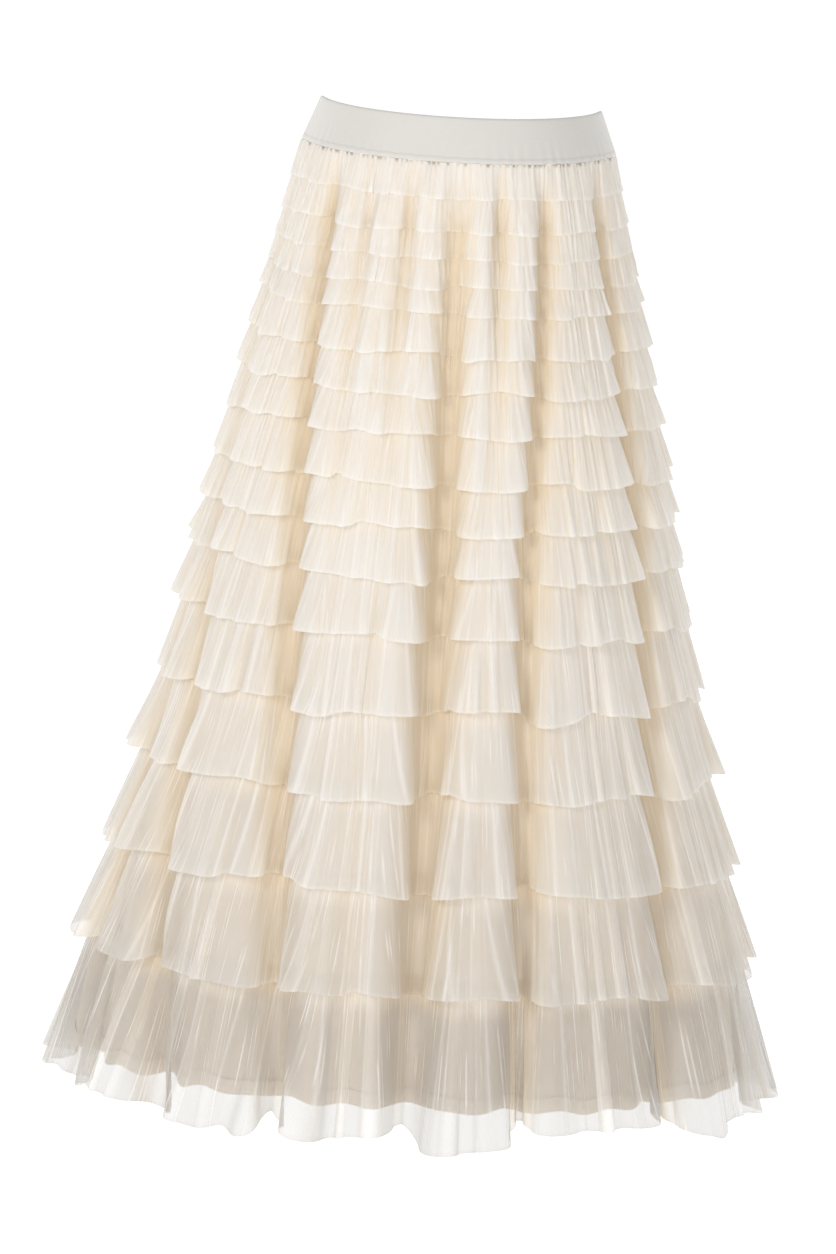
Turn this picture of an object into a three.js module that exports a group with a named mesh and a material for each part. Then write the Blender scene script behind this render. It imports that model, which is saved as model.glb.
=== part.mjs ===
// A long tiered tulle skirt as it hangs when worn: an elastic waistband, a plain base skirt
// and seventeen gathered tulle ruffles sewn round it, each hem covering the next ruffle's seam.
// Millimetres, +Z up, the front faces -Y. The origin is the centre of the waistband.
import * as THREE from "three";

// Driving sizes
const BAND_TOP = 18.3; // height of the waistband's edges above and below the origin
const BAND_BOTTOM = -18.3;
const BAND_WALL = 2.0; // elastic
const CLOTH_WALL = 1.4;
const SEAM_GAP = 0.45; // between a ruffle's gathered top and the base skirt
const EDGE_GAP = 0.3; // between the waistband and what hangs from it
const BACK_DIP = 32; // how much lower the waistband is at the back than at the front
const DIP_END = -420; // height at which that dip has faded out
const DIP_ROUNDING = 0.15; // rounds the dip's start at the sides
const LINING_SHORT = 22; // the base skirt ends this far above the lowest hem

const WAIST = BAND_BOTTOM - EDGE_GAP;
const HIP = -70;
const KNEE = -330;

// Half width and depths of the base skirt at a few heights, without its folds
const SECTIONS = [
  { z: BAND_TOP, halfWidth: 116, front: 87, back: 87 },
  { z: WAIST, halfWidth: 130, front: 98, back: 98 },
  { z: HIP, halfWidth: 142, front: 109, back: 113 },
  { z: -140, halfWidth: 157, front: 121, back: 130 },
  { z: -240, halfWidth: 177, front: 138, back: 146 },
  { z: -370, halfWidth: 202, front: 160, back: 164 },
  { z: -500, halfWidth: 226, front: 184, back: 184 },
  { z: -620, halfWidth: 254, front: 213, back: 209 },
  { z: -700, halfWidth: 271, front: 231, back: 226 },
  { z: -840, halfWidth: 292, front: 258, back: 250 },
];

// The folds that run down the whole skirt: where each valley lies, in degrees from the front
// towards +X, and how deep it is, at the hip, the knee and the hem; wide scales its width
const FOLDS = [
  { hip: 1, knee: 1.5, hem: 0, deepHip: 10, deepKnee: 26, deepHem: 32, wide: 0.95 },
  { hip: 16, knee: 13, hem: 12, deepHip: 10, deepKnee: 1, deepHem: 0, wide: 0.7 },
  { hip: 33, knee: 23.5, hem: 19, deepHip: 12, deepKnee: 15, deepHem: 20, wide: 0.85 },
  { hip: 60, knee: 61, hem: 48, deepHip: 11, deepKnee: 15, deepHem: 20, wide: 1 },
  { hip: 88, knee: 90, hem: 83, deepHip: 4, deepKnee: 6, deepHem: 10, wide: 1.2 },
  { hip: 117, knee: 118, hem: 111, deepHip: 6, deepKnee: 12, deepHem: 20, wide: 1.1 },
  { hip: 147, knee: 144, hem: 140, deepHip: 7, deepKnee: 15, deepHem: 24, wide: 1 },
  { hip: 176, knee: 173, hem: 171, deepHip: 6, deepKnee: 19, deepHem: 28, wide: 1 },
  { hip: 206, knee: 203, hem: 201, deepHip: 7, deepKnee: 14, deepHem: 22, wide: 1.1 },
  { hip: 235, knee: 232, hem: 229, deepHip: 6, deepKnee: 15, deepHem: 25, wide: 1 },
  { hip: 262, knee: 262, hem: 264, deepHip: 4, deepKnee: 8, deepHem: 12, wide: 1.2 },
  { hip: 272, knee: 277, hem: 289, deepHip: 1, deepKnee: 3, deepHem: 17, wide: 1.1 },
  { hip: 283, knee: 289, hem: 313, deepHip: 3, deepKnee: 6, deepHem: 20, wide: 1.1 },
  { hip: 311, knee: 322, hem: 338, deepHip: 12, deepKnee: 16, deepHem: 18, wide: 0.95 },
  { hip: 329, knee: 334, hem: 343, deepHip: 6, deepKnee: 1, deepHem: 0, wide: 0.7 },
  { hip: 344, knee: 347, hem: 349, deepHip: 9, deepKnee: 1, deepHem: 6, wide: 0.7 },
];
const FOLD_WIDTH = { waist: 9, hip: 10.5, knee: 15.5, hem: 22 };
const FULL_VALLEY = 12; // a fold this deep counts as a whole valley

// The cloth's columns of points, as shares of the way from one valley to the next. They
// follow the folds down the skirt. Every second one is used only where a ruffle is doubled.
const STEPS = [0, 0.11, 0.22, 0.36, 0.5, 0.64, 0.78, 0.89];
const HALF_COLUMNS = FOLDS.length * STEPS.length;
const COLUMNS = HALF_COLUMNS / 2;

// The ruffles from the waist down: the height of each hem, how far it stands off the base
// skirt there, how many waves it has, how strong they are and how far it covers the next seam
const RUFFLES = [
  { hem: -48, flare: 4, waves: 6, strength: 0.18, cover: 4 },
  { hem: -76, flare: 4, waves: 6, strength: 0.18, cover: 4 },
  { hem: -99, flare: 4, waves: 6, strength: 0.18, cover: 4 },
  { hem: -122, flare: 4.5, waves: 6, strength: 0.18, cover: 4 },
  { hem: -144, flare: 5.5, waves: 6, strength: 0.2, cover: 5 },
  { hem: -178, flare: 7, waves: 6, strength: 0.25, cover: 5 },
  { hem: -210, flare: 7.5, waves: 6, strength: 0.28, cover: 6 },
  { hem: -243, flare: 8, waves: 6, strength: 0.3, cover: 6 },
  { hem: -285, flare: 9, waves: 12, strength: 0.3, cover: 6 },
  { hem: -322, flare: 9.5, waves: 13, strength: 0.3, cover: 7 },
  { hem: -362, flare: 9.5, waves: 13, strength: 0.3, cover: 7 },
  { hem: -411, flare: 10.5, waves: 14, strength: 0.32, cover: 8 },
  { hem: -473, flare: 12, waves: 15, strength: 0.35, cover: 10 },
  { hem: -542, flare: 14, waves: 16, strength: 0.38, cover: 12 },
  { hem: -618, flare: 15, waves: 17, strength: 0.4, cover: 13 },
  { hem: -702, flare: 16, waves: 18, strength: 0.42, cover: 14 },
  { hem: -817, flare: 17, waves: 18, strength: 0.45, cover: 0 },
];
const DOUBLED_FROM = 12; // a ruffle with this many waves has twice the points along its hem
const VALLEY_SQUEEZE = 0.3; // share of its flare that a ruffle loses in the deepest valley
const HEM_SWAY = 2; // how far a hem's height wanders up and down

// The sines that make a ruffle's waves uneven and its hem sway: how many times each goes round
// the skirt, how far it carries the waves along, and how much it is turned from ruffle to ruffle
const UNEVEN = [
  { times: 2, carry: 0.9, turned: 2.4 },
  { times: 5, carry: 0.6, turned: 4.8 },
];
const SWAY = [
  { times: 3, turned: 1.7 },
  { times: 2, turned: 2.6 },
];

// The lowest hem rides up where the cloth is caught in the folds right of the front
const LIFT = { angle: 38, width: 20, height: 9 };

const LOWEST_HEM = RUFFLES[RUFFLES.length - 1].hem;
const LINING_HEM = LOWEST_HEM + LINING_SHORT;
const TURN = 2 * Math.PI;
const SMALL_TURN = 0.01; // radians, to find which way a fold's side faces

const mix = (a, b, t) => a + (b - a) * t;
const radians = (degrees) => (degrees * Math.PI) / 180;

// The value of a table's column at height z, on straight lines between its rows
function columnAt(rows, column, z) {
  const below = rows.findIndex((row) => row.z <= z);
  if (below === 0) return rows[0][column];
  const [upper, lower] = below < 0 ? rows.slice(-2) : [rows[below - 1], rows[below]];
  return mix(upper[column], lower[column], (upper.z - z) / (upper.z - lower.z));
}

// The height at which the cloth of height z hangs at angle phi, lower towards the back
function settled(z, phi) {
  const backwards = -Math.cos(phi);
  const back = (Math.hypot(backwards, DIP_ROUNDING) + backwards) / 2;
  const fade = THREE.MathUtils.clamp((z - DIP_END) / (WAIST - DIP_END), 0, 1);
  return z - BACK_DIP * back * fade;
}

// A fold's angle, depth and half width at height z
function foldAt(fold, z) {
  const rows = [
    { z: WAIST, angle: fold.hip, depth: 0, width: FOLD_WIDTH.waist },
    { z: HIP, angle: fold.hip, depth: fold.deepHip, width: FOLD_WIDTH.hip },
    { z: KNEE, angle: fold.knee, depth: fold.deepKnee, width: FOLD_WIDTH.knee },
    { z: LOWEST_HEM, angle: fold.hem, depth: fold.deepHem, width: FOLD_WIDTH.hem },
  ];
  return {
    angle: radians(columnAt(rows, "angle", z)),
    depth: columnAt(rows, "depth", z),
    width: columnAt(rows, "width", z) * fold.wide,
  };
}

// The plain oval at angle phi and height z, with its outward normal
function ovalPoint(phi, z) {
  const halfWidth = columnAt(SECTIONS, "halfWidth", z);
  const depth = columnAt(SECTIONS, Math.cos(phi) > 0 ? "front" : "back", z);
  const normal = new THREE.Vector2(depth * Math.sin(phi), -halfWidth * Math.cos(phi)).normalize();
  return {
    point: new THREE.Vector2(halfWidth * Math.sin(phi), -depth * Math.cos(phi)),
    normal,
    radius: (halfWidth + depth) / 2,
  };
}

// The folded base skirt at angle phi and height z; valley says how far down a fold it lies
function foldedPoint(phi, z) {
  const { point, normal, radius } = ovalPoint(phi, z);
  let inward = 0;
  let valley = 0;
  for (const fold of FOLDS) {
    const { angle, depth, width } = foldAt(fold, z);
    const turned = phi - angle - TURN * Math.round((phi - angle) / TURN);
    const bell = Math.exp(-(((turned * radius) / width) ** 2));
    inward += depth * bell;
    valley = Math.max(valley, bell * Math.min(1, depth / FULL_VALLEY));
  }
  return { point: point.addScaledVector(normal, -inward), normal, valley };
}

// The folded base skirt with the direction in which cloth stands off it: between the oval's
// normal and the fold's own, so that ruffles lean a little into the valleys
function basePoint(phi, z) {
  const here = foldedPoint(phi, z);
  const before = foldedPoint(phi - SMALL_TURN, z).point;
  const after = foldedPoint(phi + SMALL_TURN, z).point;
  const across = new THREE.Vector2(after.y - before.y, before.x - after.x).normalize();
  return { ...here, away: across.add(here.normal).normalize() };
}

// The angle of half column k at height z
function columnAngle(k, z) {
  const fold = Math.floor(k / STEPS.length);
  const after = (fold + 1) % FOLDS.length;
  const from = foldAt(FOLDS[fold], z).angle;
  const to = foldAt(FOLDS[after], z).angle + (after === 0 ? TURN : 0);
  return mix(from, to, STEPS[k % STEPS.length]);
}

// The height of each ruffle's seam
const SEAMS = RUFFLES.map((_, i) => (i === 0 ? WAIST : RUFFLES[i - 1].hem + RUFFLES[i - 1].cover));

// The base skirt's own rows of points: one at each seam and one at its hem. The last row only
// guides the lowest ruffle.
const LINING_HEIGHTS = [...SEAMS, LINING_HEM, LOWEST_HEM - HEM_SWAY];
const LINING_GRID = LINING_HEIGHTS.map((z) => {
  const row = Array.from({ length: HALF_COLUMNS }, (_, k) => basePoint(columnAngle(k, z), z));
  // Between two columns the base skirt is flat, so the half columns lie on its chords
  for (let k = 1; k < HALF_COLUMNS; k += 2) {
    row[k].point.copy(row[k - 1].point).lerp(row[(k + 1) % HALF_COLUMNS].point, 0.5);
  }
  return row;
});

// The base skirt's surface at half column k and any height, straight between its own heights,
// moved out by off
function standOff(k, z, off) {
  let lower = LINING_HEIGHTS.findIndex((height) => height <= z);
  lower = Math.max(1, lower < 0 ? LINING_HEIGHTS.length - 1 : lower);
  const [top, bottom] = [LINING_HEIGHTS[lower - 1], LINING_HEIGHTS[lower]];
  const t = (top - z) / (top - bottom);
  const [a, b] = [LINING_GRID[lower - 1][k], LINING_GRID[lower][k]];
  const away = a.away.clone().lerp(b.away, t).normalize();
  const kept = 1 - VALLEY_SQUEEZE * mix(a.valley, b.valley, t);
  const p = a.point.clone().lerp(b.point, t).addScaledVector(away, off(kept));
  return new THREE.Vector3(p.x, p.y, settled(z, columnAngle(k, z)));
}

// Joins each ring to the next, and the last to the first, into one closed wall. Rings go
// round anticlockwise from above; the first half runs down the outside, the rest up the
// inside, and a ring may have twice as many points as its neighbour. Both sides of the wall
// are cut into triangles along the same lines, so that it is as thick everywhere.
function wallGeometry(rings) {
  const positions = rings.flat().flatMap((p) => [p.x, p.y, p.z]);
  const starts = [];
  rings.reduce((start, ring) => (starts.push(start), start + ring.length), 0);
  const indices = [];
  rings.forEach((ring, i) => {
    const next = (i + 1) % rings.length;
    const [na, nb] = [ring.length, rings[next].length];
    const a = (j) => starts[i] + (j % na);
    const b = (j) => starts[next] + (j % nb);
    const inside = i >= rings.length / 2;
    for (let j = 0; j < Math.min(na, nb); j++) {
      if (na === nb && inside) {
        indices.push(a(j), b(j), a(j + 1), b(j), b(j + 1), a(j + 1));
      } else if (na === nb) {
        indices.push(a(j), b(j), b(j + 1), a(j), b(j + 1), a(j + 1));
      } else if (na < nb) {
        indices.push(a(j), b(2 * j), b(2 * j + 1), a(j), b(2 * j + 1), a(j + 1));
        indices.push(a(j + 1), b(2 * j + 1), b(2 * j + 2));
      } else {
        indices.push(a(2 * j), b(j), a(2 * j + 1), a(2 * j + 1), b(j), b(j + 1));
        indices.push(a(2 * j + 1), b(j + 1), a(2 * j + 2));
      }
    }
  });
  const geometry = new THREE.BufferGeometry();
  geometry.setAttribute("position", new THREE.Float32BufferAttribute(positions, 3));
  geometry.setIndex(indices);
  geometry.computeVertexNormals();
  return geometry;
}

const cloth = (color, roughness, extra = {}) =>
  new THREE.MeshStandardMaterial({ color, roughness, metalness: 0, side: THREE.DoubleSide, ...extra });
const elasticMaterial = cloth(0xe2dfd6, 0.75);
const liningMaterial = cloth(0xe2d2bb, 0.6);
const tulleMaterial = cloth(0xf8efe0, 0.85, { transparent: true, opacity: 0.8 });

// The elastic: a plain oval band, wider at its lower edge, over the tops of what it holds
function waistband() {
  const ring = (z, off) =>
    Array.from({ length: COLUMNS }, (_, j) => {
      const phi = columnAngle(2 * j, WAIST);
      const { point, normal } = ovalPoint(phi, z);
      point.addScaledVector(normal, off);
      return new THREE.Vector3(point.x, point.y, settled(z, phi));
    });
  const outside = SEAM_GAP + CLOTH_WALL;
  const inside = outside - BAND_WALL;
  const rings = [
    ring(BAND_TOP, outside),
    ring(BAND_BOTTOM, outside),
    ring(BAND_BOTTOM, inside),
    ring(BAND_TOP, inside),
  ];
  const mesh = new THREE.Mesh(wallGeometry(rings), elasticMaterial);
  mesh.name = "waistband";
  return mesh;
}

// The base skirt: one folded tube from the waist to a little above the lowest ruffle's hem
function baseSkirt() {
  const heights = LINING_HEIGHTS.filter((z) => z >= LINING_HEM);
  const ring = (z, off) =>
    Array.from({ length: COLUMNS }, (_, j) => standOff(2 * j, z, () => off));
  const outside = heights.map((z) => ring(z, 0));
  const inside = heights.map((z) => ring(z, -CLOTH_WALL)).reverse();
  const mesh = new THREE.Mesh(wallGeometry([...outside, ...inside]), liningMaterial);
  mesh.name = "base_skirt";
  return mesh;
}

// How far a ruffle's wave carries its hem out, from -1 to 1: uneven waves, other ones for
// each ruffle
function waveAt(phi, ruffle, index) {
  const carried = UNEVEN.map((sine) => sine.carry * Math.sin(sine.times * phi + sine.turned * index));
  return Math.sin(ruffle.waves * phi + carried[0] + carried[1]);
}

// The height of a ruffle's hem at angle phi
function hemAt(phi, ruffle, index) {
  const [long, short] = SWAY.map((sine) => Math.sin(sine.times * phi + sine.turned * index));
  const off = phi - radians(LIFT.angle);
  const bell = Math.exp(-((off / radians(LIFT.width)) ** 2));
  const lifted = ruffle.hem === LOWEST_HEM ? LIFT.height * bell : 0;
  return ruffle.hem + HEM_SWAY * long * short + lifted;
}

// One ruffle: a wall gathered against the base skirt at its seam, flaring out to a wavy hem
function ruffleMesh(ruffle, index) {
  const seam = SEAMS[index];
  const seamRing = (wall) =>
    Array.from({ length: COLUMNS }, (_, j) => standOff(2 * j, seam, () => SEAM_GAP + wall));
  const pace = ruffle.waves >= DOUBLED_FROM ? 1 : 2;
  const hemRing = (wall) =>
    Array.from({ length: HALF_COLUMNS / pace }, (_, j) => {
      const k = j * pace;
      const phi = columnAngle(k, ruffle.hem);
      const flare = ruffle.flare * (1 + ruffle.strength * waveAt(phi, ruffle, index));
      const z = hemAt(phi, ruffle, index);
      return standOff(k, z, (kept) => SEAM_GAP + flare * kept + wall);
    });
  const rings = [seamRing(CLOTH_WALL), hemRing(CLOTH_WALL), hemRing(0), seamRing(0)];
  const mesh = new THREE.Mesh(wallGeometry(rings), tulleMaterial);
  mesh.name = "ruffle_" + String(index + 1).padStart(2, "0");
  return mesh;
}

const skirt = new THREE.Group();
skirt.add(waistband(), baseSkirt(), ...RUFFLES.map(ruffleMesh));

export default skirt;
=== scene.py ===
# A long tiered tulle skirt, filled out as worn: a ribbed elastic waistband, an opaque base
# skirt and seventeen gathered ruffles of ivory net. Metres, +Z up, the front faces -Y, the
# origin is the centre of the waistband.
import math

import bpy
import numpy as np
from mathutils import Matrix, Vector


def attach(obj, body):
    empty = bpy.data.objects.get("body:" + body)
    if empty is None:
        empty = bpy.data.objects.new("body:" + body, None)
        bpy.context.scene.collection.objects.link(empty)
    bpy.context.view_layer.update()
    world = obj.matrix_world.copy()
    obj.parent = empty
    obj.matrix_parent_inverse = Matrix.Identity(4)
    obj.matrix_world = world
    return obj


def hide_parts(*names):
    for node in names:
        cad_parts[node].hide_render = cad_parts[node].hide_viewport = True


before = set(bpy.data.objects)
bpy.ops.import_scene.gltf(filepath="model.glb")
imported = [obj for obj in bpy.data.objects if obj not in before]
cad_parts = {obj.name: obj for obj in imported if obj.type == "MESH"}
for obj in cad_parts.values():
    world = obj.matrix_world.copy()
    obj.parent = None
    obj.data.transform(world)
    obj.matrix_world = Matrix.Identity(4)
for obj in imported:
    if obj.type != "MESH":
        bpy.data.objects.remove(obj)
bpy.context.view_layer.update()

MM = 0.001
TURN = 2 * math.pi

# The form, as in the solids
BAND_TOP = 18.3 * MM
BAND_BOTTOM = -18.3 * MM
BAND_WALL = 2.0 * MM
SEAM_GAP = 0.45 * MM
CLOTH_WALL = 1.4 * MM
WAIST = -18.6 * MM
HIP = -70 * MM
KNEE = -330 * MM
BACK_DIP = 32 * MM
DIP_END = -420 * MM
DIP_ROUNDING = 0.15
LINING_SHORT = 22 * MM
VALLEY_SQUEEZE = 0.75

# Height, half width and depth to the front and back of the base skirt, in mm
SECTIONS = [
    (18.3, 116, 87, 87),
    (-18.6, 130, 98, 98),
    (-70, 142, 109, 113),
    (-140, 157, 121, 130),
    (-240, 177, 138, 146),
    (-370, 202, 160, 164),
    (-500, 226, 184, 184),
    (-620, 254, 213, 209),
    (-700, 271, 231, 226),
    (-840, 292, 258, 250),
]

# Large folds: the valley's angle in degrees and its depth in mm at hip, knee and hem, and a
# factor on its width
FOLDS = [
    (1, 1.5, 0, 10, 26, 32, 1.15),
    (16, 13, 12, 10, 1, 0, 0.7),
    (33, 23.5, 19, 12, 15, 20, 0.85),
    (60, 61, 48, 11, 15, 20, 1),
    (88, 90, 83, 4, 6, 10, 1.2),
    (117, 118, 111, 6, 12, 20, 1.1),
    (147, 144, 140, 7, 15, 24, 1),
    (176, 173, 171, 6, 19, 28, 1),
    (206, 203, 201, 7, 14, 22, 1.1),
    (235, 232, 229, 6, 15, 25, 1),
    (262, 262, 264, 4, 8, 12, 1.2),
    (272, 277, 289, 1, 3, 17, 1.1),
    (283, 289, 313, 3, 6, 20, 1.1),
    (311, 322, 338, 12, 16, 18, 0.95),
    (329, 334, 343, 6, 1, 0, 0.7),
    (344, 347, 349, 9, 1, 6, 0.7),
]
# Widths of the valleys at waist, hip, knee and hem, and the depth at which one is full
FOLD_WIDTHS = [9 * MM, 10.5 * MM, 15.5 * MM, 22 * MM]
FULL_VALLEY = 12 * MM

# Ruffles from the waist down: hem height, flare and cover of the next seam in mm; how much
# the net covers where it lies flat and how pale grey it is, 0 to 1; spacing of its large and
# middle gathers in mm
RUFFLES = [
    (-48, 2, 4, 0.88, 0, 34, 14),
    (-76, 2, 4, 0.88, 0, 34, 14),
    (-99, 2, 4, 0.88, 0, 34, 14),
    (-122, 2.3, 4, 0.88, 0, 35, 14),
    (-144, 3.5, 5, 0.88, 0, 36, 10),
    (-178, 5.5, 5, 0.88, 0, 38, 11),
    (-210, 6.5, 6, 0.88, 0, 40, 11),
    (-243, 7, 6, 0.88, 0, 42, 12),
    (-285, 7.5, 6, 0.87, 0, 44, 13),
    (-322, 8, 7, 0.86, 0, 46, 13),
    (-362, 8, 7, 0.85, 0.05, 48, 14),
    (-411, 8.5, 8, 0.83, 0.1, 52, 15),
    (-473, 9, 10, 0.8, 0.15, 56, 16),
    (-542, 10, 12, 0.76, 0.2, 60, 17),
    (-618, 12, 13, 0.7, 0.3, 64, 18),
    (-702, 14, 14, 0.57, 0.5, 68, 20),
    (-817, 16.5, 0, 0.49, 1.0, 74, 22),
]
HEMS = [row[0] * MM for row in RUFFLES]
SEAMS = [WAIST] + [(row[0] + row[2]) * MM for row in RUFFLES[:-1]]
LOWEST_HEM = HEMS[-1]
LINING_HEM = LOWEST_HEM + LINING_SHORT

# How the net is gathered and hangs
CUT_PER_SEAM = 1.5
FINE_SPACING = 4.6 * MM
OVERHANG = 0.9
HEM_UNEVEN = 0.04
LOBES_UNEVEN = 0.28
RIM_SWELL = 0.35
PLEAT_DEPTH = 0.62
DENT_DEPTH = 0.25 * MM
UV_WOBBLE = 6 * MM

# How much more net covers at its hem and at the edges of folds, and the limits
EDGE_COVER = 0.12
BRINK_COVER = 0.3
MOST_COVER = 0.97
LEAST_FACING = 0.22

# The mesh of a ruffle: columns of the upper eight and of the others, and rows
FINE_COLUMN = 0.8 * MM
COARSE_COLUMN = 1.05 * MM
ROW = 3.2 * MM
FINE_RUFFLES = 8
LEAST_ROWS = 9

# Where the lowest hem rides up or hangs lower: angle and width in degrees, rise in mm
HEM_RISES = [
    (62, 6, -8),
    (48, 5, 9),
    (38, 20, 9),
    (20.5, 2.5, 8),
    (10.5, 7, -8),
    (-1, 2.5, 6),
    (-13.5, 5, -6),
    (-17.8, 2, 5),
    (-24.5, 2, 10),
    (-28.5, 2, -8),
    (-35, 8, -5),
]


# Form of the base skirt

def section(z, column):
    """A column of SECTIONS at heights z, in metres: 1 half width, 2 front, 3 back."""
    heights = [row[0] * MM for row in reversed(SECTIONS)]
    values = [row[column] * MM for row in reversed(SECTIONS)]
    return np.interp(z, heights, values)


def along_skirt(z, values):
    """A value given at the waist, hip, knee and hem, at heights z."""
    return np.interp(-z, [-WAIST, -HIP, -KNEE, -LOWEST_HEM], values)


def oval(phi, z):
    """Points of the unfolded base skirt, their outward normals and their mean radius."""
    half_width = section(z, 1)
    depth = np.where(np.cos(phi) > 0, section(z, 2), section(z, 3))
    point = np.stack([half_width * np.sin(phi), -depth * np.cos(phi)], -1)
    normal = np.stack([depth * np.sin(phi), -half_width * np.cos(phi)], -1)
    normal /= np.linalg.norm(normal, axis=-1, keepdims=True)
    return point, normal, (half_width + depth) / 2


def folded(phi, z):
    """Points of the folded base skirt, how far down a valley each one lies, 0 to 1, how far
    towards the valley's middle the cloth leans where a ruffle's hem closes over it, and how
    near it is to a valley's rim, 0 to 1."""
    point, normal, radius = oval(phi, z)
    inward = np.zeros_like(radius)
    valley = np.zeros_like(radius)
    lean = np.zeros_like(radius)
    rim = np.zeros_like(radius)
    for hip, knee, hem, deep_hip, deep_knee, deep_hem, wide in FOLDS:
        angle = np.radians(along_skirt(z, [hip, hip, knee, hem]))
        depth = along_skirt(z, [0, deep_hip * MM, deep_knee * MM, deep_hem * MM])
        width = along_skirt(z, FOLD_WIDTHS) * wide
        turned = (phi - angle - TURN * np.round((phi - angle) / TURN)) * radius
        bell = np.exp(-(turned / width) ** 2)
        share = np.minimum(1, depth / FULL_VALLEY)
        inward += depth * bell
        valley = np.maximum(valley, bell * share)
        lean -= share * turned * np.exp(-((np.abs(turned) / width - 1.1) / 0.5) ** 2)
        rim = np.maximum(rim, share * np.exp(-((np.abs(turned) / width - 1.3) / 0.4) ** 2))
    return point - normal * inward[..., None], normal, valley, lean, rim


def base(phi, z):
    """Points of the folded base skirt, the directions away from it and round it, and the
    valleys, leans and rims that folded gives."""
    step = 0.004  # radians
    point, round_normal, valley, lean, rim = folded(phi, z)
    around = folded(phi + step, z)[0] - folded(phi - step, z)[0]
    around /= np.linalg.norm(around, axis=-1, keepdims=True)
    away = np.stack([around[..., 1], -around[..., 0]], -1)
    away = away + round_normal
    away /= np.linalg.norm(away, axis=-1, keepdims=True)
    return point, away, around, valley, lean, rim


def settled(z, phi):
    """Heights after the waist's dip towards the back."""
    backwards = -np.cos(phi)
    back = (np.hypot(backwards, DIP_ROUNDING) + backwards) / 2
    fade = np.clip((z - DIP_END) / (WAIST - DIP_END), 0, 1)
    return z - BACK_DIP * back * fade


# Uneven waves

def ripple(u, draws, low, high):
    """A smooth uneven wave round the skirt, about -1 to 1, that closes on itself at u = 1."""
    total = np.zeros_like(u)
    count = 7
    for _ in range(count):
        waves = draws.integers(low, high + 1)
        total += np.sin(TURN * (waves * u + draws.random())) * draws.uniform(0.6, 1)
    return total / math.sqrt(count)


def smooth(low, high, x):
    """0 below low and 1 above high, with an even slope between them."""
    t = np.clip((x - low) / (high - low), 0, 1)
    return t * t * (3 - 2 * t)


def gathers(u, v, count, draws, wander, sharp):
    """Ridges, 0 to 1, of count folds round the skirt, how far each point leans sideways
    under them, in radians of a fold, and how near it is to a ridge's edge, 0 to 1. wander
    makes the folds uneven and sharp makes the ridges narrow."""
    bend = ripple(u, draws, 3, 9) + 0.5 * ripple(u, draws, 20, 40)
    bend = bend + 0.45 * ripple(u, draws, round(count / 6), round(count / 3))
    slant = ripple(u, draws, 4, 14)
    theta = TURN * round(count) * u + wander * bend + 0.5 * slant * v
    swell = ripple(u, draws, round(count / 7), round(count / 2))
    strength = np.clip(0.5 + 0.5 * swell, 0.03, 1.2)
    ridge = ((1 + np.cos(theta)) / 2) ** sharp * strength
    lean = OVERHANG * strength * np.sin(2 * theta) / 2
    from_top = np.abs((theta + math.pi) % TURN - math.pi)
    brink_at, brink_width = 1, 0.22
    brink = np.minimum(strength, 1) * np.exp(-((from_top - brink_at) / brink_width) ** 2)
    return ridge, lean, brink


# Meshes

def grid_mesh(name, points, uv, marks, closed_rows=False):
    """A mesh of quads through rows of points that go round the skirt. uv holds the flat
    cloth's coordinates, with one column more than the points; marks holds named values.
    With closed_rows the last row is joined to the first."""
    rows, columns = points.shape[:2]
    index = np.arange(rows * columns).reshape(rows, columns)
    below = np.roll(index, -1, axis=0) if closed_rows else index[1:]
    above = index if closed_rows else index[:-1]
    after = np.roll(above, -1, axis=1), np.roll(below, -1, axis=1)
    quads = np.stack([above, below, after[1], after[0]], -1).reshape(-1, 4)
    mesh = bpy.data.meshes.new(name)
    mesh.from_pydata(points.reshape(-1, 3).tolist(), [], quads.tolist())
    lower = np.roll(uv, -1, axis=0) if closed_rows else uv[1:]
    upper = uv if closed_rows else uv[:-1]
    corners = np.stack([upper[:, :-1], lower[:, :-1], lower[:, 1:], upper[:, 1:]], 2)
    layer = mesh.uv_layers.new(name="cloth")
    layer.data.foreach_set("uv", corners.reshape(-1).astype(np.float32))
    for mark, values in marks.items():
        attribute = mesh.attributes.new(mark, "FLOAT", "POINT")
        values = np.broadcast_to(values, (rows, columns)).reshape(-1)
        attribute.data.foreach_set("value", values.astype(np.float32))
    mesh.polygons.foreach_set("use_smooth", [True] * len(mesh.polygons))
    mesh.update()
    piece = bpy.data.objects.new(name, mesh)
    bpy.context.scene.collection.objects.link(piece)
    return piece


def facing(points, outward):
    """How squarely the cloth faces outward, from 0 edge on to 1."""
    across = np.roll(points, -1, axis=1) - np.roll(points, 1, axis=1)
    down = np.gradient(points, axis=0)
    normal = np.cross(across, down)
    normal /= np.linalg.norm(normal, axis=-1, keepdims=True) + 1e-12
    return np.abs((normal[..., :2] * outward).sum(-1))


def perimeter(z):
    """The length round the unfolded base skirt at height z."""
    half_width = float(section(z, 1))
    depth = float(section(z, 2) + section(z, 3)) / 2
    stretch = math.sqrt((3 * half_width + depth) * (half_width + 3 * depth))
    return math.pi * (3 * (half_width + depth) - stretch)


# Materials

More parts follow.
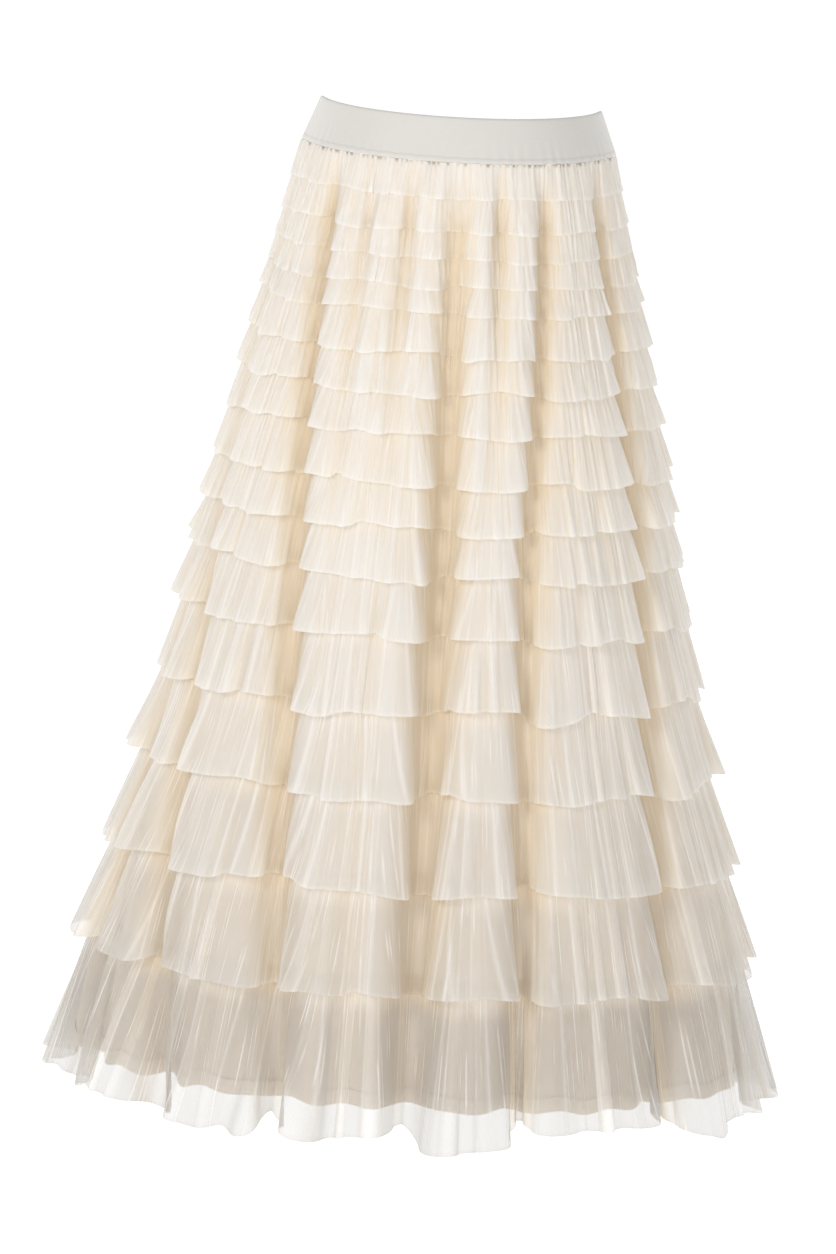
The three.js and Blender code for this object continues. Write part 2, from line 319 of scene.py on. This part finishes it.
class Nodes:
    """Adds nodes to a material, each call one node."""

    def __init__(self, name):
        self.material = bpy.data.materials.new(name)
        self.material.use_nodes = True
        self.tree = self.material.node_tree
        self.tree.nodes.clear()

    def add(self, kind, inputs=(), **settings):
        node = self.tree.nodes.new(kind)
        for key, value in settings.items():
            setattr(node, key, value)
        for key, value in dict(inputs).items():
            if isinstance(value, bpy.types.NodeSocket):
                self.tree.links.new(value, node.inputs[key])
            else:
                node.inputs[key].default_value = value
        return node

    def math(self, operation, a, b=0.0, clamp=False):
        node = self.add("ShaderNodeMath", {0: a, 1: b}, operation=operation, use_clamp=clamp)
        return node.outputs[0]

    def blend(self, factor, a, b):
        """Colour a where factor is 0 and b where it is 1."""
        return self.add("ShaderNodeMix", {0: factor, 6: a, 7: b}, data_type="RGBA").outputs[2]

    def cloud(self, scale, detail):
        """Soft noise in the object's own space, 0 to 1."""
        place = self.add("ShaderNodeTexCoord").outputs["Object"]
        inputs = {"Scale": scale, "Detail": detail, "Vector": place}
        return self.add("ShaderNodeTexNoise", inputs).outputs["Fac"]

    def bump(self, height, strength, distance):
        inputs = {"Height": height, "Strength": strength, "Distance": distance}
        return self.add("ShaderNodeBump", inputs).outputs[0]

    def mark(self, name):
        """A value that grid_mesh has put on the points."""
        return self.add("ShaderNodeAttribute", attribute_name=name).outputs["Fac"]

    def finish(self, shader):
        """The material, with shader as its surface."""
        self.add("ShaderNodeOutputMaterial", {"Surface": shader})
        return self.material


def rgba(red, green, blue):
    return (red, green, blue, 1)


# The net's own colour, and a darker warm colour of painted shade that the shade mark blends in
NET_RIDGE = rgba(0.915, 0.915, 0.91)
NET_PAINTED_SHADE = rgba(0.86, 0.765, 0.61)
NET_GREY = rgba(0.50, 0.485, 0.465)
# Painted shadow for the gaps between the first ruffle's gathers under the band
NET_GAP_SHADOW = rgba(0.22, 0.18, 0.12)
NET_CLOUD = rgba(0.92, 0.88, 0.82)
NET_CELL = 1.3 * MM
LINING_LIGHT = rgba(0.79, 0.69, 0.57)
LINING_DARK = rgba(0.73, 0.635, 0.525)
ELASTIC_LIGHT = rgba(0.575, 0.555, 0.525)
ELASTIC_DARK = rgba(0.51, 0.49, 0.465)
ELASTIC_STITCH = rgba(0.45, 0.43, 0.40)
RIB_SPACING = 1.5 * MM
KNIT_SPACING = 1.1 * MM

# Spacing, width and seed of the net's crinkle lines: doubled net, creases beside it, which get
# painted shade, and the close ones of the upper ruffles, which get painted shade too
DOUBLED_LINES = (7 * MM, 1.1 * MM, 0.0)
CREASE_SHADE_LINES = (5 * MM, 0.9 * MM, 70.5)
TIGHT_CREASE_SHADE_LINES = (3.2 * MM, 0.8 * MM, 31.0)
LINE_LENGTH = 45 * MM
NET_PULL = 14.0
SEEN_THROUGH = 0.45


def crinkle_lines(n, axes, spacing, width, seed):
    """Thin uneven lines down the cloth, 0 to 1, that fade in and out along their length.
    axes are the flat cloth's coordinates, and seed keeps one set of lines off another."""
    across = n.math("ADD", n.math("DIVIDE", axes[0], spacing), seed)
    cells = n.add("ShaderNodeTexVoronoi", {"W": across, "Scale": 1.0}, voronoi_dimensions="1D")
    line = n.add("ShaderNodeMapRange", {
        0: cells.outputs["Distance"], 1: 0.0, 2: width / spacing, 3: 1.0, 4: 0.0,
    }).outputs[0]
    place = n.add("ShaderNodeCombineXYZ", {
        0: n.math("DIVIDE", axes[0], 2 * spacing),
        1: n.math("DIVIDE", axes[1], LINE_LENGTH),
        2: seed,
    }).outputs[0]
    noise = n.add("ShaderNodeTexNoise", {"Vector": place, "Scale": 1.0, "Detail": 1.0})
    shown = n.add("ShaderNodeMapRange", {
        0: noise.outputs["Fac"], 1: 0.45, 2: 0.65, 3: 0.0, 4: 1.0,
    }).outputs[0]
    return n.math("MULTIPLY", line, shown)


def tulle_material():
    """Net. The marks on a piece say how much it covers, how much painted shade it gets, how pale
    grey it is, where the waist's gaps get painted shadow and how much painted shade close
    crinkles get."""
    n = Nodes("tulle")
    flat = n.add("ShaderNodeUVMap", uv_map="cloth").outputs[0]
    axes = n.add("ShaderNodeSeparateXYZ", {0: flat}).outputs
    # Threads of a six-sided net, pulled a little out of shape: thin where three waves,
    # 60 degrees apart, are all high
    pull = n.add("ShaderNodeTexNoise", {"Vector": flat, "Scale": 0.4 / NET_CELL}).outputs["Fac"]
    waves = []
    for degrees in (0, 60, 120):
        turn = math.radians(degrees)
        along = n.math("MULTIPLY", axes[0], math.cos(turn) * TURN / NET_CELL)
        down = n.math("MULTIPLY", axes[1], math.sin(turn) * TURN / NET_CELL)
        pulled = n.math("MULTIPLY", pull, NET_PULL)
        place = n.math("ADD", n.math("ADD", along, down), pulled)
        waves.append(n.math("COSINE", place))
    # The three waves together run from -1.5 to 3
    total = n.math("ADD", n.math("ADD", waves[0], waves[1]), waves[2])
    holes = n.math("MULTIPLY", n.math("ADD", total, 1.5), 0.222)
    thread = n.math("SUBTRACT", 1.05, n.math("MULTIPLY", holes, 0.15))
    # Where the net lies doubled in a crinkle it covers more and gets less painted shade and
    # grey, and beside it the crease gets painted shade
    doubled = crinkle_lines(n, axes, *DOUBLED_LINES)
    crease_shade = crinkle_lines(n, axes, *CREASE_SHADE_LINES)
    tight_crease_shade = n.math("MULTIPLY", crinkle_lines(n, axes, *TIGHT_CREASE_SHADE_LINES), n.mark("tight_crease_shade"))
    net = n.math("MULTIPLY", n.mark("cover"), thread, clamp=True)
    more = n.math("MULTIPLY", n.math("SUBTRACT", 1.0, net), n.math("MULTIPLY", doubled, 0.75))
    cover = n.math("ADD", net, more, clamp=True)
    lit = n.math("SUBTRACT", n.mark("shade"), n.math("MULTIPLY", doubled, 0.4))
    dimmed = n.math("ADD", n.math("MULTIPLY", crease_shade, 0.5), n.math("MULTIPLY", tight_crease_shade, 0.4))
    shade = n.math("ADD", lit, dimmed, clamp=True)
    single = n.math("SUBTRACT", 1.0, n.math("MULTIPLY", doubled, 0.8))
    grey = n.math("MULTIPLY", n.mark("grey"), single)
    # Painted shade: the shade mark darkens the net towards the warm shade colour
    shaded = n.blend(grey, n.blend(shade, NET_RIDGE, NET_PAINTED_SHADE), NET_GREY)
    # Painted shadow darkens the gaps under the band
    colour = n.blend(n.mark("gap_shadow"), shaded, NET_GAP_SHADOW)
    tint = n.blend(n.math("MULTIPLY", n.cloud(60.0, 3.0), 0.12), colour, NET_CLOUD)
    relief = n.math("SUBTRACT", doubled, crease_shade)
    bump = n.bump(relief, 0.3, 0.3 * MM)
    surface = n.add("ShaderNodeBsdfPrincipled", {
        "Base Color": tint, "Roughness": 0.95, "Specular IOR Level": 0.05,
        "Sheen Weight": 0.15, "Sheen Roughness": 0.4, "Normal": bump,
    }).outputs[0]
    through = n.add("ShaderNodeBsdfTranslucent", {"Color": tint}).outputs[0]
    cloth = n.add("ShaderNodeMixShader", {0: SEEN_THROUGH, 1: surface, 2: through}).outputs[0]
    clear = n.add("ShaderNodeBsdfTransparent").outputs[0]
    return n.finish(n.add("ShaderNodeMixShader", {0: cover, 1: clear, 2: cloth}).outputs[0])


def lining_material():
    """The opaque cloth of the base skirt."""
    n = Nodes("lining")
    colour = n.blend(n.cloud(9.0, 4.0), LINING_LIGHT, LINING_DARK)
    flat = n.add("ShaderNodeUVMap", uv_map="cloth").outputs[0]
    bands = {"Vector": flat, "Scale": 260.0, "Distortion": 0.4}
    weave = n.add("ShaderNodeTexWave", bands, wave_type="BANDS").outputs["Fac"]
    bump = n.bump(weave, 0.15, 0.1 * MM)
    return n.finish(n.add("ShaderNodeBsdfPrincipled", {
        "Base Color": colour, "Roughness": 0.55, "Sheen Weight": 0.2, "Normal": bump,
    }).outputs[0])


def elastic_material():
    """Ribbed elastic. The mark on the band says where its row of stitches is."""
    n = Nodes("elastic")
    flat = n.add("ShaderNodeUVMap", uv_map="cloth").outputs[0]
    axes = n.add("ShaderNodeSeparateXYZ", {0: flat}).outputs
    rib = n.math("COSINE", n.math("MULTIPLY", axes[1], TURN / RIB_SPACING))
    knit = n.math("COSINE", n.math("MULTIPLY", axes[0], TURN / KNIT_SPACING))
    relief = n.math("ADD", rib, n.math("MULTIPLY", knit, 0.35))
    bump = n.bump(relief, 0.15, 0.15 * MM)
    cloudy = n.math("MULTIPLY", n.cloud(35.0, 5.0), 0.35)
    shade = n.math("ADD", cloudy, n.math("MULTIPLY", rib, 0.12), clamp=True)
    colour = n.blend(shade, ELASTIC_LIGHT, ELASTIC_DARK)
    stitched = n.blend(n.mark("stitch"), colour, ELASTIC_STITCH)
    return n.finish(n.add("ShaderNodeBsdfPrincipled", {
        "Base Color": stitched, "Roughness": 0.8, "Sheen Weight": 0.2, "Normal": bump,
    }).outputs[0])


# Pieces

def finish_piece(piece, material, node):
    """Gives a piece its material and stands it for its node of the solids."""
    piece.data.materials.append(material)
    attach(piece, "root")
    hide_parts(node)


def pleats(u, v, girth, spacing, draws):
    """Narrow valleys between broad lobes, deepest at the hem: their depth, 0 to 1, how far
    towards their middle the cloth leans, in metres, how the hem steps there, -1 to 1, and
    how near each point is to a valley's edge, 0 to 1."""
    count = round(girth / spacing)
    centres = (np.arange(count) + draws.uniform(-0.33, 0.33, count)) / count
    depth = np.zeros_like(u)
    lean = np.zeros_like(u)
    kink = np.zeros_like(u)
    brink = np.zeros_like(u)
    brink_width = 1.1 * MM
    for centre in centres:
        width = spacing * draws.uniform(0.07, 0.17)
        strength = draws.uniform(0.25, 1)
        closing = draws.uniform(0.1, 0.6)
        slant = draws.normal(0, 0.06) * spacing / girth
        jump = draws.uniform(-1, 1)
        off = u - centre - slant * v
        metres = (off - np.round(off)) * girth
        depth = np.maximum(depth, strength * np.exp(-(metres / width) ** 2))
        lean -= closing * strength * metres * np.exp(-0.8 * (metres / width) ** 2)
        kink += jump * metres / width * np.exp(-0.25 * (metres / width) ** 2)
        from_edge = np.abs(metres) - 1.2 * width
        brink = np.maximum(brink, np.exp(-(from_edge / brink_width) ** 2))
    return depth, lean, kink, brink


def fold_steps(phi, z, draws):
    """How much lower or higher a hem at height z hangs on the two sides of each large fold."""
    total = np.zeros_like(phi)
    shallow = 5  # mm
    for _, knee, hem, _, deep_knee, _, wide in FOLDS:
        if deep_knee < shallow:
            continue
        angle = math.radians(along_skirt(z, [knee, knee, knee, hem]))
        off = phi - angle
        metres = (off - TURN * np.round(off / TURN)) * perimeter(z) / TURN
        across = metres / (FOLD_WIDTHS[-1] * wide)
        total += draws.uniform(-3.5, 3.5) * MM * across * np.exp(-0.3 * across ** 2)
    return total


def crumple(u, v, girth, length, draws):
    """Shallow dents that run askew across the cloth, about -1 to 1."""
    total = np.zeros_like(u)
    count = 6
    for _ in range(count):
        waves = round(girth / (draws.uniform(12, 26) * MM))
        down = length / (draws.uniform(14, 40) * MM) * draws.choice([-1, 1])
        total += np.sin(TURN * (waves * u + down * v + draws.random()) + ripple(u, draws, 3, 12))
    return total / math.sqrt(count)


def below_neighbours(height, reach):
    """How far each point lies below the highest one within reach columns of it."""
    top = height
    for step in range(1, reach + 1):
        for way in (step, -step):
            top = np.maximum(top, np.roll(height, way, axis=1))
    return top - height


def hem_heights(number, u, phi, length, pleat, kink, draws):
    """How low each column of a ruffle hangs: unevenly, with steps at its pleats and folds."""
    hem, flare = RUFFLES[number][:2]
    height = hem * MM - length * HEM_UNEVEN * ripple(u, draws, 5, 16)
    height = height + 0.25 * flare * MM * pleat
    height = height + (0.4 + 1.1 * stepped(number) + 0.02 * length / MM) * MM * kink
    height = height + stepped(number) * fold_steps(phi[0], hem * MM, draws)
    if number == len(RUFFLES) - 1:
        for angle, wide, rise in HEM_RISES:
            turned = np.degrees((phi + math.pi) % TURN - math.pi) - angle
            height = height + rise * MM * np.exp(-(turned / wide) ** 2)
    return height


def stepped(number):
    """How much the ruffles' hems step at folds: less at the waist than below, 0 to 1."""
    return smooth(-2, 7, number)


def ruffle_shade(number, v, out, spacing, length, valley):
    """How much painted shade each point gets, and how much of that is between fine crinkles.
    Cloth deep between its neighbours or in a fold's valley gets painted shade, and a ruffle's
    top gets painted shadow of the hem above."""
    reach_folds = (7 + 9 * smooth(2, 10, number)) * MM
    reach_crinkles = 3 * MM
    below_folds = below_neighbours(out, round(reach_folds / spacing))
    below_crinkles = below_neighbours(out, round(reach_crinkles / spacing))
    folds_shade = 1 - np.exp(-below_folds / (11 * MM))
    crinkle_shade = 1 - np.exp(-below_crinkles / (2.2 * MM))
    # Painted shadow of the hem above on a ruffle's top
    under_hem_shadow = np.exp(-np.maximum(0, v * length - hidden_top(number)) / (7 * MM))
    in_crinkles = (0.28 + 0.15 * stepped(number)) * crinkle_shade
    shade = 0.42 * folds_shade + in_crinkles + 0.85 * valley ** 2
    if number:
        shade = shade + 0.1 * under_hem_shadow
    # Painted light: paler towards the hem
    return shade * (1.08 - (0.12 + 0.2 * stepped(number)) * v), crinkle_shade


def hidden_top(number):
    """How much of a ruffle's top the one above hides. The first has none above it and takes
    the same as the second."""
    return RUFFLES[max(number - 1, 0)][2] * MM


def ruffle(number, material):
    """One gathered strip of net, from the seam at its top to its hem. u runs round the skirt
    and v down the ruffle, both 0 to 1. Ruffles are numbered from 0 at the waist to 16, and
    what changes from one to the next is a smooth rise over their numbers."""
    hem, flare, _, flat_cover, grey, large, middle = RUFFLES[number]
    draws = np.random.default_rng(40 + number)
    seam = SEAMS[number]
    length = seam - hem * MM
    girth = perimeter(seam)
    spacing = FINE_COLUMN if number < FINE_RUFFLES else COARSE_COLUMN
    columns = round(perimeter(hem * MM) / spacing)
    rows = max(LEAST_ROWS, round(length / ROW)) + 1
    u, v = np.meshgrid(np.arange(columns) / columns, np.linspace(0, 1, rows))
    phi = math.pi + TURN * u
    pleat, pleat_lean, kink, pleat_brink = pleats(u, v, girth, large * MM, draws)
    low_hem = hem_heights(number, u, phi, length, pleat, kink, draws)
    z = seam + (low_hem - seam) * v

    point, away, around, valley, lean, rim = base(phi, z)
    kept = 1 - VALLEY_SQUEEZE * valley + RIM_SWELL * rim
    plump = 1 + LOBES_UNEVEN * ripple(u, draws, 6, 18)
    off = SEAM_GAP + flare * MM * v ** 0.85 * kept * plump * (1.12 - PLEAT_DEPTH * pleat)

    middle_count = girth / (middle * MM)
    fine_count = girth / FINE_SPACING
    mid, mid_lean, mid_brink = gathers(u, v, middle_count, draws, wander=1.8, sharp=2.6)
    fine, fine_lean, _ = gathers(u, v, fine_count, draws, wander=2.5, sharp=2.2)
    fullness = 0.14 + 0.15 * smooth(4, 16, number)
    at_seam = 2.1 - 1.1 * stepped(number)
    mid_height = (at_seam + (fullness * middle - at_seam) * v) * MM
    reach = np.clip(0.8 + 0.4 * ripple(u, draws, 30, 90), 0.25, 1.4)
    fine_fade = 1 - (0.35 + 0.03 * number) * smooth(reach - 0.5, reach + 0.2, v)
    smoother = 1 - 0.85 * smooth(9, 14, number) * smooth(0, 0.35, v)
    fine_height = (1.1 + 0.5 * stepped(number)) * MM * fine_fade * smoother
    dents = crumple(u, v, girth, length, draws)
    dents = dents * smooth(0.05, 0.4, v) * (1 - smooth(4, 9, number))
    off = off + mid * mid_height + fine * fine_height + dents * DENT_DEPTH
    mid_sideways = mid_lean * (0.3 + 0.7 * v) * middle * MM / TURN
    sideways = mid_sideways + fine_lean * fine_fade * FINE_SPACING / TURN
    closing = 0.3 * stepped(number) * lean * v + pleat_lean * v

    slid = oval(phi + closing / (girth / TURN), z)[0] - oval(phi, z)[0]
    flat_points = point + slid + away * off[..., None] + around * sideways[..., None]
    points = np.concatenate([flat_points, settled(z, phi)[..., None]], -1)

    # Net that stands edge on covers more, and so do its hem and the edges of its folds
    squarely = np.maximum(facing(points, away), LEAST_FACING)
    cover = 1 - (1 - flat_cover) ** (1 / squarely)
    edge = smooth(0.985, 1, v)
    brink = np.maximum(pleat_brink, mid_brink) * smooth(7, 13, number) * (1 - 0.3 * v)
    cover = np.minimum(cover + EDGE_COVER * edge + BRINK_COVER * brink, MOST_COVER)

    out = np.linalg.norm(flat_points, axis=-1)
    shade, crinkle_shade = ruffle_shade(number, v, out, spacing, length, valley)
    # Fold edges get less painted shade: a painted highlight
    shade = np.clip(shade - 0.25 * brink, 0, 1)
    # Painted shadow in the gaps between the first ruffle's gathers, just under the band
    opening = np.clip(0.75 + 0.5 * ripple(u, draws, 20, 60), 0, 1)
    shadowed_gaps = smooth(0.22, 0.5, crinkle_shade) * opening
    gap_shadow = (1 - smooth(0.04, 0.1, v)) * shadowed_gaps if number == 0 else 0.0

    width = girth * CUT_PER_SEAM
    share, down = np.meshgrid(np.arange(columns + 1) / columns, np.linspace(0, 1, rows))
    own_place = number * 0.5
    across = own_place + share * width + UV_WOBBLE * down * ripple(share, draws, 6, 22)
    uv = np.stack([across, -down * length], -1)

    # The lower ruffles are greyer where one layer hangs alone, below what the next hides
    hidden = hidden_top(number)
    thin = grey * (1 - 0.25 * smooth(0.1, 0.6, 1 - squarely))
    thin = thin * smooth(0.5 * hidden, 2.5 * hidden, v * length)
    # Random tone of overlapping layers, and painted shade: greyer in pleat valleys, less grey on
    # gather ridges
    layers_and_shade = np.clip(1.02 + 0.12 * ripple(u, draws, 4, 16) - 0.65 * mid + 0.4 * pleat, 0.2, 1.5)
    # Less grey in fold valleys, so that their painted shade shows
    thin = thin * layers_and_shade * (1 - 0.5 * valley * (1 - smooth(13, 16, number)))
    # Less grey at fold edges: a painted highlight
    thin = np.minimum(thin * (1 - 0.6 * brink), 1)
    tight_crease_shade = 1 - smooth(9, 14, number)

    name = "ruffle_%02d" % (number + 1)
    marks = {"cover": cover, "shade": shade, "grey": thin, "gap_shadow": gap_shadow, "tight_crease_shade": tight_crease_shade}
    piece = grid_mesh("net_" + name, points, uv, marks)
    finish_piece(piece, material, name)
    return piece


def base_skirt(material):
    """The opaque tube under the net, from the waist to its turned-up hem."""
    columns, rows = 420, 110
    own_height = -0.4 * MM  # off the form, under the net
    draws = np.random.default_rng(7)
    u, v = np.meshgrid(np.arange(columns) / columns, np.linspace(0, 1, rows))
    phi = math.pi + TURN * u
    hem = LINING_HEM + 2.5 * MM * ripple(u, draws, 12, 40)
    z = WAIST + (hem - WAIST) * v
    point, away, _, _, _, _ = base(phi, z)
    crease = ripple(u + 0.01 * ripple(v, draws, 1, 3), draws, 18, 40)
    off = own_height + 0.35 * MM * crease * smooth(0.1, 0.8, v)
    outside = np.concatenate([point + away * off[..., None], settled(z, phi)[..., None]], -1)
    # The hem is turned up inside, in four rows
    turned = outside[-1:, :, :].repeat(4, axis=0)
    inward = np.array([0.5, 1.0, 1.1, 1.1]) * MM
    lifted = np.array([-0.4, 0.6, 6.0, 12.0]) * MM
    folded_in = np.array([1.0, 2.0, 7.0, 13.0]) * MM
    turned[..., :2] -= away[-1:] * inward[:, None, None]
    turned[..., 2] += lifted[:, None]
    points = np.concatenate([outside, turned])
    hem_width = perimeter(LINING_HEM)
    length = WAIST - LINING_HEM
    downs = np.concatenate([np.linspace(0, length, rows), length + folded_in])
    uv = np.stack(np.meshgrid(np.arange(columns + 1) / columns * hem_width, -downs), -1)
    piece = grid_mesh("base_skirt_cloth", points, uv, {})
    finish_piece(piece, material, "base_skirt")
    return piece


def waistband(material):
    """The elastic, down its outside and up its inside, with a groove where it is stitched."""
    columns = 480
    outside_rows, inside_rows = 40, 14
    edge_radius = 0.7 * MM
    stitch_above_edge = 4.2 * MM
    draws = np.random.default_rng(3)
    height = BAND_TOP - BAND_BOTTOM
    outer = SEAM_GAP + CLOTH_WALL
    t = np.linspace(0, 1, outside_rows)
    top_round = np.exp(-t * height / edge_radius)
    bottom_round = np.exp(-(1 - t) * height / edge_radius)
    edge_round = 0.6 * MM * (top_round + bottom_round)
    groove_at = 1 - stitch_above_edge / height
    groove = np.exp(-((t - groove_at) * height / (0.5 * MM)) ** 2)
    # Height, distance out from the base skirt and stitching of each row of points
    profile = []
    for down, rounding, depth in zip(t, edge_round, groove):
        profile.append((BAND_TOP - height * down, outer - rounding - 0.25 * MM * depth, depth))
    for up in np.linspace(0, 1, inside_rows):
        profile.append((BAND_BOTTOM + height * up, outer - BAND_WALL, 0.0))
    u, _ = np.meshgrid(np.arange(columns) / columns, np.arange(len(profile)))
    phi = math.pi + TURN * u
    z = np.array([row[0] for row in profile])[:, None] + np.zeros_like(u)
    off = np.array([row[1] for row in profile])[:, None] + np.zeros_like(u)
    # The lower edge puckers where the gathered net is sewn to it
    low = smooth(-0.2, 1, (BAND_TOP - z) / height) ** 3
    off = off + 0.25 * MM * low * ripple(u, draws, 60, 110)
    point, normal, _ = oval(phi, z)
    z = z + 0.35 * MM * low * ripple(u, draws, 40, 90)
    points = np.concatenate([point + normal * off[..., None], settled(z, phi)[..., None]], -1)
    stitch = np.array([row[2] for row in profile])[:, None]
    length = perimeter(0)
    downs = np.cumsum([0] + [math.dist(a[:2], b[:2]) for a, b in zip(profile, profile[1:])])
    uv = np.stack(np.meshgrid(np.arange(columns + 1) / columns * length, -downs), -1)
    piece = grid_mesh("waistband_elastic", points, uv, {"stitch": stitch}, closed_rows=True)
    finish_piece(piece, material, "waistband")
    return piece


# Stage, lights and camera

def stage():
    """A plain floor, a little below the hem, that glows so that it comes out white."""
    n = Nodes("floor")
    surface = n.add("ShaderNodeBsdfPrincipled", {
        "Base Color": rgba(0.35, 0.35, 0.35), "Roughness": 0.9, "Specular IOR Level": 0.0,
        "Emission Color": rgba(1, 1, 1), "Emission Strength": 0.85,
    }).outputs[0]
    material = n.finish(surface)
    half = 40
    z = LOWEST_HEM - 0.25
    corners = [(-half, -half, z), (half, -half, z), (half, half, z), (-half, half, z)]
    mesh = bpy.data.meshes.new("floor")
    mesh.from_pydata(corners, [], [(0, 1, 2, 3)])
    mesh.materials.append(material)
    floor = bpy.data.objects.new("floor", mesh)
    bpy.context.scene.collection.objects.link(floor)


# Place in metres, size in metres, power in watts and colour of each studio light
LIGHTS = {
    "key": ((-2.2, -3.4, 1.3), 1.6, 70, (1, 0.995, 0.985)),
    "front": ((0.8, -4.6, -0.3), 2.6, 75, (1, 1, 1)),
    "rear_left": ((-3.2, 3.0, 0.7), 2.0, 90, (1, 1, 1)),
    "rear_right": ((3.2, 3.0, 0.7), 2.0, 90, (1, 1, 1)),
}
LIT_POINT = (0, 0, -0.4)
SKY = 0.5


def area_light(name, place, size, power, colour):
    """A round soft light at a place, turned towards the middle of the skirt."""
    light = bpy.data.lights.new(name, "AREA")
    light.shape = "DISK"
    light.size = size
    light.energy = power
    light.color = colour
    lamp = bpy.data.objects.new(name, light)
    lamp.location = place
    direction = Vector(LIT_POINT) - Vector(place)
    lamp.rotation_euler = direction.to_track_quat("-Z", "Y").to_euler()
    bpy.context.scene.collection.objects.link(lamp)


def lights():
    """A white sky and the studio's lights."""
    world = bpy.data.worlds.new("studio")
    world.use_nodes = True
    background = world.node_tree.nodes["Background"].inputs
    background["Color"].default_value = rgba(1, 1, 1)
    background["Strength"].default_value = SKY
    bpy.context.scene.world = world
    for name, settings in LIGHTS.items():
        area_light(name, *settings)


# The photo's frame: the size of its pixel at the skirt, and how its camera looks
PIXEL = 0.84 * MM
FRAME_HEIGHT = 1254 * PIXEL
ELEVATION = math.radians(10.4)
ROLL = math.radians(3.15)
DISTANCE = 20.0
AIM = (-12.2 * MM, 0, -430.8 * MM)
SENSOR = 24.0


def camera():
    """Far off with a long lens, looking a little down and rolled a little to one side."""
    data = bpy.data.cameras.new("camera")
    data.sensor_fit = "VERTICAL"
    data.sensor_height = SENSOR
    data.lens = SENSOR * DISTANCE / FRAME_HEIGHT
    data.clip_end = 100
    level = Vector((1, 0, 0))
    up = Vector((0, math.sin(ELEVATION), math.cos(ELEVATION)))
    right = math.cos(ROLL) * level + math.sin(ROLL) * up
    top = -math.sin(ROLL) * level + math.cos(ROLL) * up
    back = right.cross(top)
    eye = bpy.data.objects.new("camera", data)
    turn = Matrix((right, top, back)).transposed().to_4x4()
    eye.matrix_world = Matrix.Translation(Vector(AIM) + back * DISTANCE) @ turn
    bpy.context.scene.collection.objects.link(eye)
    bpy.context.scene.camera = eye


bpy.context.scene.view_settings.view_transform = "Standard"
camera()
lights()
stage()
waistband(elastic_material())
base_skirt(lining_material())
net = tulle_material()
for number in range(len(RUFFLES)):
    ruffle(number, net)

bpy.context.view_layer.update()
